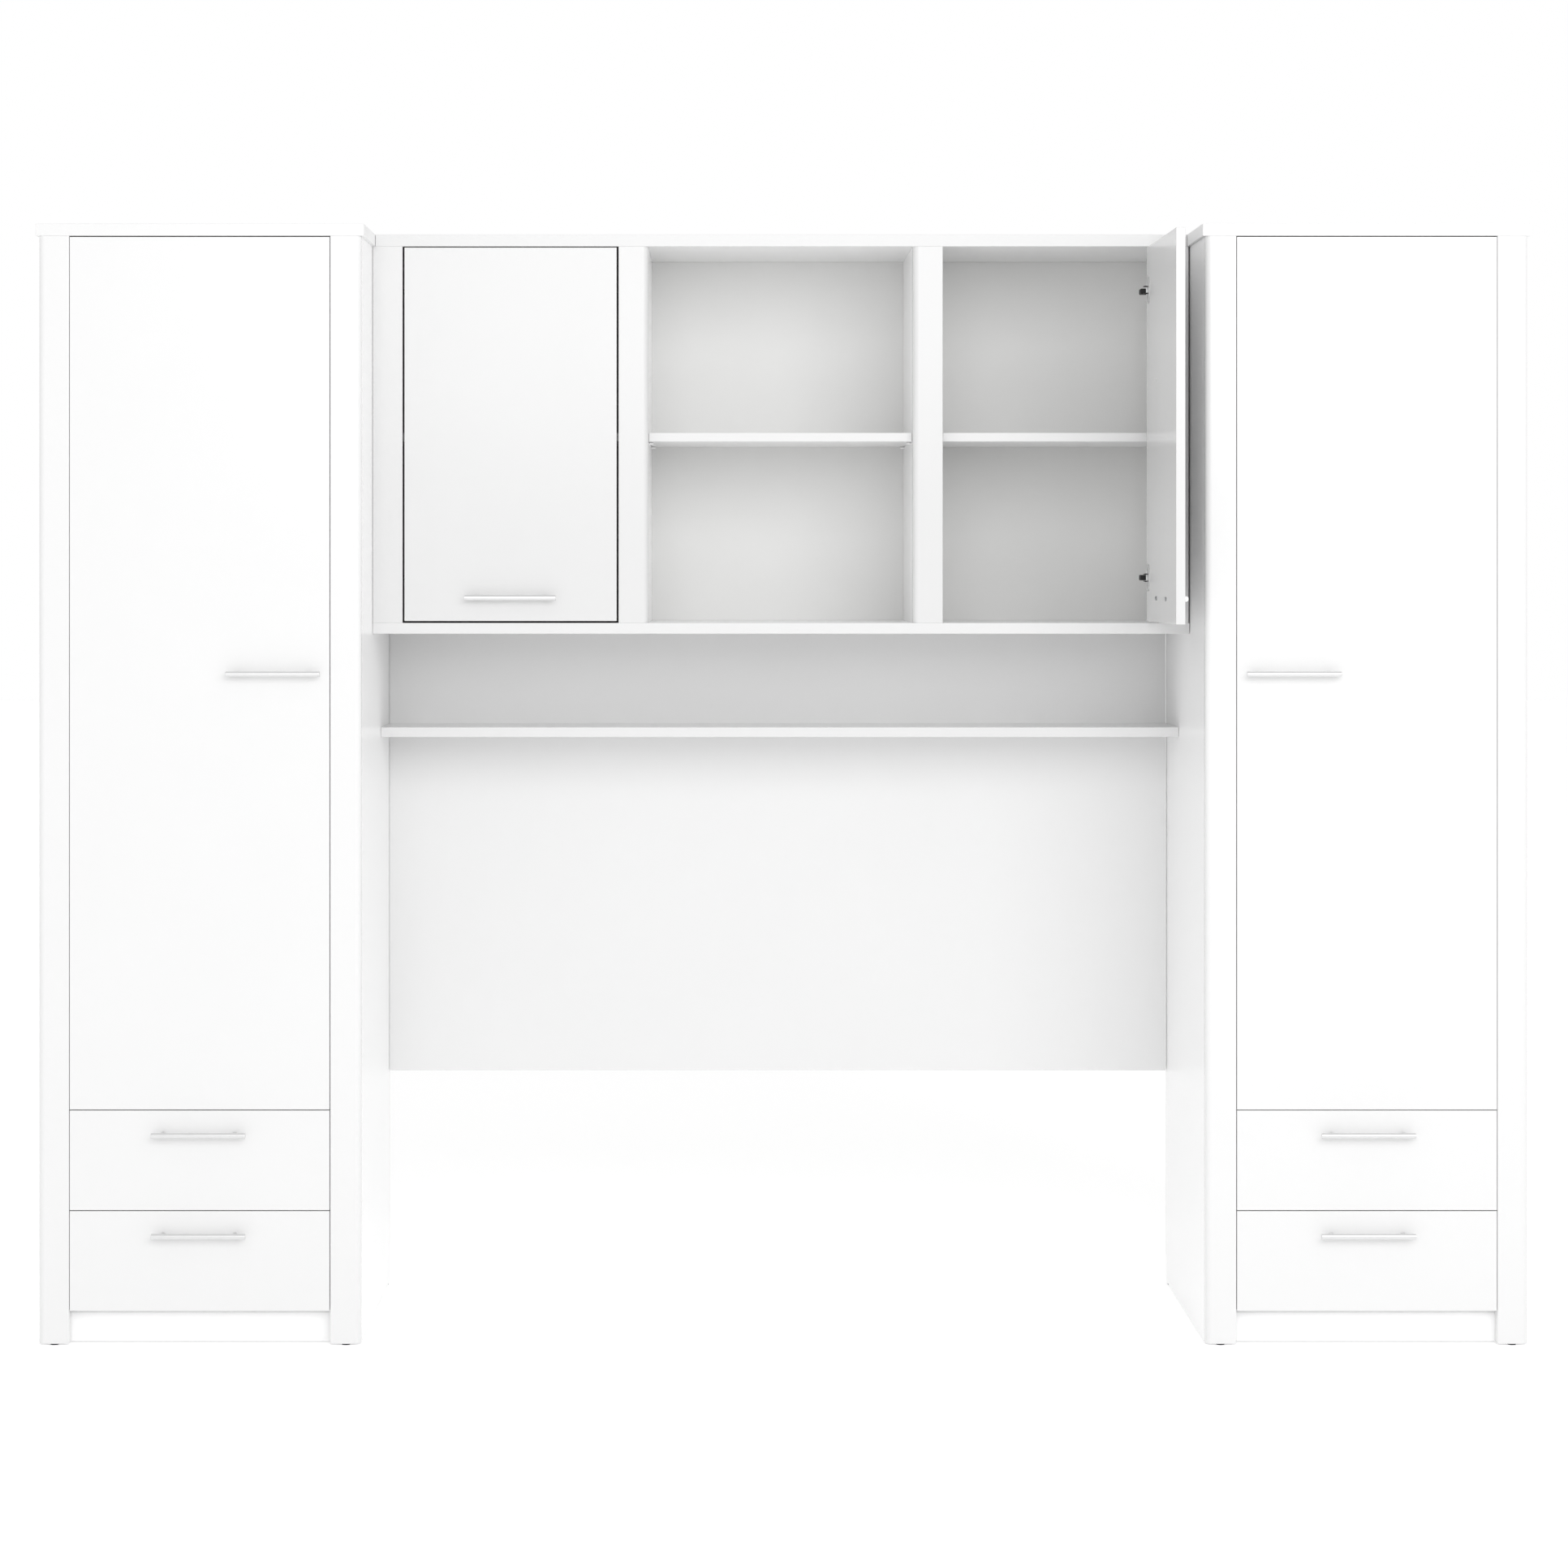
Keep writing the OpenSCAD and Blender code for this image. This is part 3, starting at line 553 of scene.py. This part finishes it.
def hinge_cup(made, z):
    """Adds one pressed cup in the door's own frame: long flange, two screws and a pin across the bowl."""
    back = BOARD_T + FLANGE_T
    under = BOARD_T + HAIRLINE
    floor_y = BOARD_T - CUP_DEPTH + CUP_WALL
    bowl_r = CUP_R - CUP_WALL
    profile = [
        (BOARD_T - CUP_DEPTH + HAIRLINE, CUP_R - HAIRLINE, 0),
        (under, CUP_R - HAIRLINE, 0),
        (under, CUP_R + FLANGE_RIM, FLANGE_STRETCH),
        (back - FLANGE_LIP, CUP_R + FLANGE_RIM, FLANGE_STRETCH),
        (back, CUP_R + FLANGE_RIM - FLANGE_LIP, FLANGE_STRETCH),
        (back, CUP_R + HAIRLINE, 0),
        (back + RAISED_RIM, CUP_R - FLANGE_LIP, 0),
        (back + RAISED_RIM, bowl_r + FLANGE_LIP, 0),
        (back, bowl_r, 0),
        (floor_y + BOWL_ROUND, bowl_r, 0),
        (floor_y, bowl_r - BOWL_ROUND, 0),
    ]
    outer = edges = cup_ring(made, z, profile[0][1], profile[0][0])
    for (_, _, old_stretch), (y, radius, stretch) in zip(profile, profile[1:]):
        edges = draw_ring(made, edges, z, old_stretch, y, radius, stretch)
    for end in (outer, edges):
        bmesh.ops.edgeloop_fill(made, edges=end)
    for way in (-1, 1):
        screw(made, (CUP_INSET, back, z + way * FLANGE_SCREW_Z), (0, 1, 0), *FLANGE_SCREW)
    rod(made, (*PIN_AT, z - PIN_HALF_L), (*PIN_AT, z + PIN_HALF_L), PIN_R, PIN_EASE, PIN_SIDES)


def hinge_links(made, z):
    """Adds the two plates that stand out of a cup beside the arm, with their rivets."""
    for way in (-1, 1):
        near, far = (z + way * reach for reach in LINK_Z)
        low, high = min(near, far), max(near, far)
        rounded_slab(made, (ARM_X[1], LINK_Y[0], low), (ARM_X[2], LINK_Y[1], high), LINK_EASE)
        for y in (LINK_Y[0] + RIVET_INSET, LINK_Y[1] - RIVET_INSET):
            screw(made, ((ARM_X[1] + ARM_X[2]) / 2, y, far), (0, 0, way), *RIVET, recess=False)


def bar_handle(made, x, z, face_y, reach):
    """Adds a bar handle, centred on x and z, standing out towards -y from the face."""
    bar_y = face_y - reach + BAR_R
    rod(made, (x - BAR_L / 2, bar_y, z), (x + BAR_L / 2, bar_y, z), BAR_R, BAR_EASE, BAR_SIDES)
    for way in (-1, 1):
        foot_x = x + way * FOOT_CC / 2
        seat = (foot_x, face_y - HAIRLINE, z)
        rod(made, (foot_x, bar_y, z), seat, FOOT_R)
        rod(made, (foot_x, face_y - COLLAR_L, z), seat, FOOT_R + FOOT_COLLAR, COLLAR_EASE)
    uv = made.loops.layers.uv.new("brushed")
    for face in made.faces:
        for corner in face.loops:
            p = corner.vert.co
            corner[uv].uv = (p.x - x, math.atan2(p.z - z, p.y - bar_y) * BAR_R)


def handle_screws(made, x, z, back_y):
    """Adds the heads of a handle's two screws, on the back of its board."""
    for way in (-1, 1):
        screw(made, (x + way * FOOT_CC / 2, back_y, z), (0, 1, 0), *HANDLE_SCREW)


HANDLE_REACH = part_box("left_lower_front")[0].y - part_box("left_lower_handle")[0].y

# Door, name stem of its cups and handle, joint, side, number of hinges, finish
doors = [
    ("left_door", "left_door", "left_door_hinge", LEFT, 4, white_foil),
    ("right_door", "right_door", "right_door_hinge", RIGHT, 4, white_foil),
    ("bridge_left_door", "bridge_left", "bridge_left_door_hinge", LEFT, 2, foil_painted_shade),
    ("bridge_right_door", "bridge_right", "bridge_right_door_hinge", RIGHT, 2, foil_painted_shade),
]
arms, plates, plate_screws, arm_screws = (bmesh.new() for _ in range(4))

for door, stem, joint_name, side, count, look in doors:
    joint = joints[joint_name]
    at = door_place(joint, side, -math.radians(joint["range_deg"][0]))
    shut = door_place(joint, side, 0)
    heights = hinge_heights(door, count)

    leaf = solids_of(door)
    ease(leaf, FRONT_EASE)
    place(leaf, door + "_wrapped", door, look, [door])

    cups, links = bmesh.new(), bmesh.new()
    for z in heights:
        hinge_cup(cups, z)
        hinge_links(links, z)
    bmesh.ops.transform(cups, matrix=at, verts=cups.verts[:])
    cup_node = stem + "_hinge_cups"
    place(cups, cup_node + "_pressed", door, nickel_plate, [cup_node])
    bmesh.ops.transform(links, matrix=at, verts=links.verts[:])
    place(links, stem + "_hinge_links", door, dark_enamel)

    handle = stem + "_handle"
    low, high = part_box(handle)
    middle = at.inverted() @ ((low + high) / 2)
    bar, fixings = bmesh.new(), bmesh.new()
    bar_handle(bar, middle.x, middle.z, 0, HANDLE_REACH)
    bmesh.ops.transform(bar, matrix=at, verts=bar.verts[:])
    place(bar, handle + "_brushed", door, satin_nickel, [handle])
    handle_screws(fixings, middle.x, middle.z, BOARD_T)
    bmesh.ops.transform(fixings, matrix=at, verts=fixings.verts[:])
    place(fixings, handle + "_screws", door, zinc)

    door_arms, door_plates, door_plate_screws, door_arm_screws = (bmesh.new() for _ in range(4))
    plate_y = POST_T + PLATE_T
    arm_y = plate_y + ARM_T
    for z in heights:
        half = ARM_H / 2
        rounded_slab(door_arms, (ARM_X[1], ARM_TIP_Y, z - half), (ARM_X[2], arm_y, z + half), ARM_EASE)
        rounded_slab(door_arms, (ARM_X[0], plate_y, z - half), (ARM_X[2], arm_y, z + half), ARM_EASE)
        for x0, x1, half_z in (PLATE_BAR, PLATE_WING):
            rounded_slab(door_plates, (x0, POST_T, z - half_z), (x1, plate_y, z + half_z), PLATE_EASE)
        for way in (-1, 1):
            head = (PLATE_SCREW_X, plate_y, z + way * PLATE_SCREW_Z)
            screw(door_plate_screws, head, (0, 1, 0), PLATE_SCREW_R)
        for x in ARM_SCREW_X:
            screw(door_arm_screws, (x, arm_y, z), (0, 1, 0), *ARM_SCREW)
    gather(arms, door_arms, shut)
    gather(plates, door_plates, shut)
    gather(plate_screws, door_plate_screws, shut)
    gather(arm_screws, door_arm_screws, shut)

place(arms, "hinge_arms_enamelled", CARCASS, dark_enamel, ["hinge_arms"])
place(plates, "hinge_plates_plated", CARCASS, nickel_plate, ["hinge_plates"])
place(plate_screws, "hinge_plate_screws", CARCASS, zinc)
place(arm_screws, "hinge_arm_screws", CARCASS, nickel_plate)

# ---- Drawers and runners ----


def runner_details(wheels, screws, box, middle_x, moving):
    """Adds one runner's nylon wheel and its screw heads. The drawer's middle shows which way it faces."""
    low, high = box
    inwards = 1 if middle_x > low.x else -1
    outer, inner = (low.x, high.x) if inwards > 0 else (high.x, low.x)
    if moving:
        wheel_y, wheel_z = high.y - WHEEL_END, high.z - MOVING_WHEEL_DROP
        web_x = outer + inwards * MOVING_WEB_X
        wheel = (outer - inwards * HAIRLINE, web_x - inwards * HAIRLINE)
        head_x, head_way, head_z = web_x, -inwards, high.z - MOVING_SCREW_DROP
    else:
        wheel_y, wheel_z = low.y + WHEEL_END, high.z - FIXED_WHEEL_DROP
        wheel = (outer + inwards * FIXED_WHEEL_GAP, inner + inwards * HAIRLINE)
        head_x, head_way, head_z = outer + inwards * WEB_T, inwards, high.z - FIXED_SCREW_DROP
    rod(wheels, (wheel[0], wheel_y, wheel_z), (wheel[1], wheel_y, wheel_z), WHEEL_R, WHEEL_EASE)
    for along in RUNNER_SCREWS:
        screw(screws, (head_x, low.y + along, head_z), (head_way, 0, 0), *RUNNER_SCREW)


for side in ("left", "right"):
    for level in ("lower", "upper"):
        drawer = f"{side}_{level}"
        body = drawer + "_drawer"
        front = solids_of(drawer + "_front")
        ease(front, FRONT_EASE)
        place(front, drawer + "_front_wrapped", body, white_foil, [drawer + "_front"])
        tray = solids_of(drawer + "_box")
        ease(tray, BOARD_EASE)
        place(tray, drawer + "_box_jointed", body, drawer_board, [drawer + "_box"])
        rails = solids_of(drawer + "_runners")
        ease(rails, STEEL_EASE, 1)
        runners = drawer + "_runners"
        place(rails, runners + "_folded", body, powder_coat, [runners])

        low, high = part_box(drawer + "_handle")
        x, z = (low.x + high.x) / 2, (low.z + high.z) / 2
        face_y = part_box(drawer + "_front")[0].y
        bar, fixings = bmesh.new(), bmesh.new()
        bar_handle(bar, x, z, face_y, HANDLE_REACH)
        place(bar, drawer + "_handle_brushed", body, satin_nickel, [drawer + "_handle"])
        handle_screws(fixings, x, z, face_y + BOARD_T)
        wheels = bmesh.new()
        for box in solid_boxes(drawer + "_runners"):
            runner_details(wheels, fixings, box, x, moving=True)
        place(fixings, drawer + "_screws", body, zinc)
        place(wheels, drawer + "_wheels", body, wheel_nylon)

# ---- Fixed fittings ----

fittings = {
    "cabinet_runners": (powder_coat, "powder_coated_runner"),
    "clothes_rails": (chrome, "chromed_rail"),
    "rail_sockets": (chrome, "chromed_rail"),
    "floor_glides": (nylon, "nylon_glide"),
    "shelf_pins": (nickel_plate, "zinc_plated_steel"),
    "angle_brackets": (zinc, "zinc_plated_steel"),
}
for name, (look, record_slot) in fittings.items():
    part = solids_of(name)
    ease(part, STEEL_EASE)
    place(part, name + "_finished", CARCASS, look, [name])

# Bolts and screws get a round drive recess in each end face that shows
for name, least_area in (("connector_bolts", 150 * MM * MM), ("shelf_screws", 45 * MM * MM)):
    part = solids_of(name)
    for face in [f for f in part.faces if f.calc_area() > least_area and len(f.verts) > 8]:
        width = math.sqrt(face.calc_area() / math.pi)
        bmesh.ops.inset_region(part, faces=[face], thickness=width * 0.5)
        bmesh.ops.translate(part, verts=face.verts[:], vec=-face.normal * 1 * MM)
    place(part, name + "_finished", CARCASS, zinc, [name])

wheels, small_screws = bmesh.new(), bmesh.new()
for box in solid_boxes("cabinet_runners"):
    side = "left" if box[0].x < 0 else "right"
    front_low, front_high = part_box(side + "_lower_front")
    runner_details(wheels, small_screws, box, (front_low.x + front_high.x) / 2, moving=False)
place(wheels, "cabinet_runner_wheels", CARCASS, wheel_nylon)

BRACKET_T = 2 * MM
BRACKET_HOLE = 18 * MM
for low, high in solid_boxes("angle_brackets"):
    screw(small_screws, ((low.x + high.x) / 2, high.y - BRACKET_HOLE, high.z - BRACKET_T), (0, 0, -1), 4 * MM)

SOCKET_SCREW_R = 18 * MM
SOCKET_FLANGE_T = 2 * MM
for i, (low, high) in enumerate(solid_boxes("rail_sockets")):
    y, z = (low.y + high.y) / 2, (low.z + high.z) / 2
    way = 1 if i % 2 == 0 else -1
    x = low.x + SOCKET_FLANGE_T if way > 0 else high.x - SOCKET_FLANGE_T
    for up in (-1, 1):
        screw(small_screws, (x, y, z + up * SOCKET_SCREW_R), (way, 0, 0), 2.8 * MM, 1.2 * MM)
place(small_screws, "fitting_screws", CARCASS, zinc)

# ---- Floor, light and camera ----

ROOM_LIGHT = 0.81
FLOOR_GLOW = 0.26
SOFTBOX_WATTS = 100
SOFTBOX_SIZE = (5.0, 2.5)
SOFTBOX_AT = (1.0, -4.8, 3.0)
SOFTBOX_AIM = (0.0, 0.0, 1.1)
FLOOR_SIZE = 30
CAMERA_AT = (-0.116, -6.472, 1.392)
CAMERA_LENS = 80.8
CAMERA_SENSOR = 36
CAMERA_SHIFT = (0.0419, -0.1392)

floor_mesh = bpy.data.meshes.new("floor")
floor_made = bmesh.new()
bmesh.ops.create_grid(floor_made, x_segments=1, y_segments=1, size=FLOOR_SIZE)
floor_made.to_mesh(floor_mesh)
floor_made.free()
floor = bpy.data.objects.new("floor", floor_mesh)
bpy.context.scene.collection.objects.link(floor)
# White floor with a little glow of its own, so that it meets the white surround without a line
floor_look, floor_tree = finish_named("pale_floor")
floor_shade = add(floor_tree, "ShaderNodeBsdfDiffuse", {"Color": linear("#F6F6F6"), "Roughness": 0.5})
floor_glow = add(floor_tree, "ShaderNodeEmission", {"Color": linear("#FFFFFF"), "Strength": FLOOR_GLOW})
floor_both = add(floor_tree, "ShaderNodeAddShader", {0: floor_shade.outputs[0], 1: floor_glow.outputs[0]})
add(floor_tree, "ShaderNodeOutputMaterial", {"Surface": floor_both.outputs[0]})
floor_mesh.materials.append(floor_look)
floor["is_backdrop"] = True

scene = bpy.context.scene
world = bpy.data.worlds.new("studio")
world.use_nodes = True
surround = world.node_tree
surround.nodes.clear()
# The surround is seen white, and lights the room a little more softly than that
ray = add(surround, "ShaderNodeLightPath")
seen_as = add(
    surround,
    "ShaderNodeMapRange",
    {"Value": ray.outputs["Is Camera Ray"], "To Min": ROOM_LIGHT, "To Max": 1.0},
)
sky = add(
    surround,
    "ShaderNodeBackground",
    {"Color": linear("#FFFFFF"), "Strength": seen_as.outputs["Result"]},
)
add(surround, "ShaderNodeOutputWorld", {"Surface": sky.outputs["Background"]})
scene.world = world
scene.view_settings.view_transform = "Standard"

lamp = bpy.data.lights.new("front_softbox", "AREA")
lamp.shape = "RECTANGLE"
lamp.size, lamp.size_y = SOFTBOX_SIZE
lamp.energy = SOFTBOX_WATTS
softbox = bpy.data.objects.new("front_softbox", lamp)
softbox.location = SOFTBOX_AT
aim = Vector(SOFTBOX_AIM) - softbox.location
softbox.rotation_euler = aim.to_track_quat("-Z", "Y").to_euler()
scene.collection.objects.link(softbox)

lens = bpy.data.cameras.new("camera")
lens.sensor_width = CAMERA_SENSOR
lens.lens = CAMERA_LENS
lens.shift_x, lens.shift_y = CAMERA_SHIFT
camera = bpy.data.objects.new("camera", lens)
camera.location = CAMERA_AT
camera.rotation_euler = (math.radians(90), 0, 0)
scene.collection.objects.link(camera)
scene.camera = camera

low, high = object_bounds()
